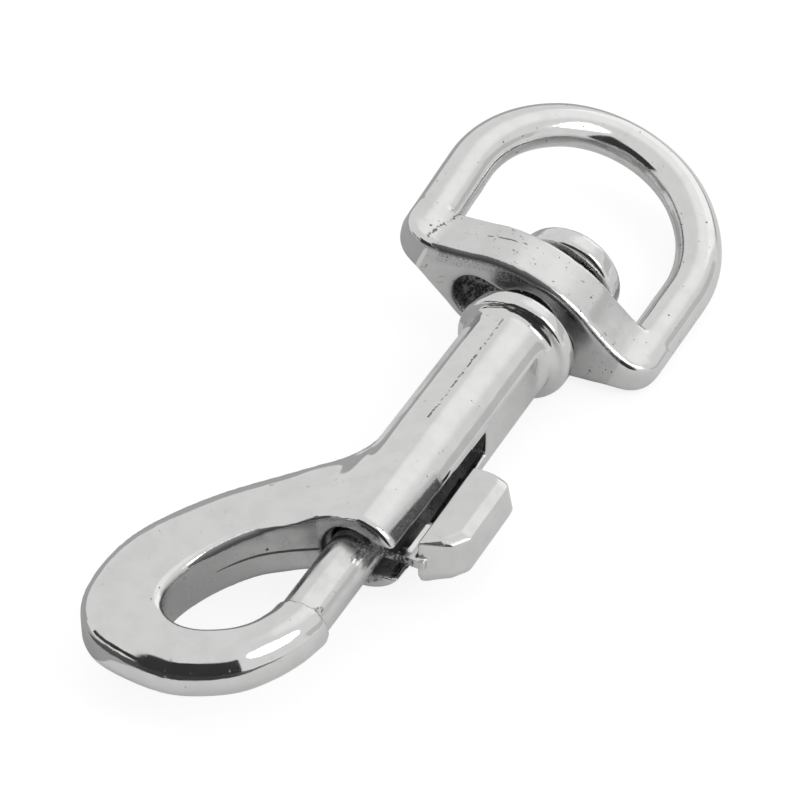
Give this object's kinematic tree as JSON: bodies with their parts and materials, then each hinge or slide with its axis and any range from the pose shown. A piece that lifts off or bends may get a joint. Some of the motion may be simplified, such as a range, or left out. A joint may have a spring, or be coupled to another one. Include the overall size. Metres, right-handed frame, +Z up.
{
  "type": "swivel snap hook",
  "caption": "Swivel bolt snap: die-cast hook with a spring-loaded sliding bolt and thumb lever, and a D-shaped eye that turns on a headed neck.",
  "frame": {"origin": "middle of the bounding box, on the surface that the hook lies on", "axes": "+X along the barrel from the hook towards the swivel eye, +Y towards the closed back of the hook, +Z up"},
  "size_m": [0.0841, 0.0292, 0.0128],
  "materials": {
    "body_metal": "polished nickel plate on die-cast zinc",
    "bolt_metal": "tumbled nickel plate on die-cast zinc",
    "spring_steel": "drawn spring wire",
    "eye_metal": "polished nickel plate on die-cast zinc"
  },
  "bodies": {
    "body": {"body_casting": "body_metal", "spring": "spring_steel"},
    "bolt": {"bolt": "bolt_metal"},
    "swivel_eye": {"swivel_eye": "eye_metal"}
  },
  "joints": [
    {"name": "bolt_slide", "type": "slide", "parent": "body", "child": "bolt", "axis": [1, 0, 0], "range_m": [0, 0.009], "stiffness_N_per_m": 300, "springref_m": -0.012, "deforming": ["spring"]},
    {"name": "eye_swivel", "type": "hinge", "parent": "body", "child": "swivel_eye", "pos_m": [0.01604, -0.00265, 0.00586], "axis": [1, 0, 0], "continuous": true}
  ]
}
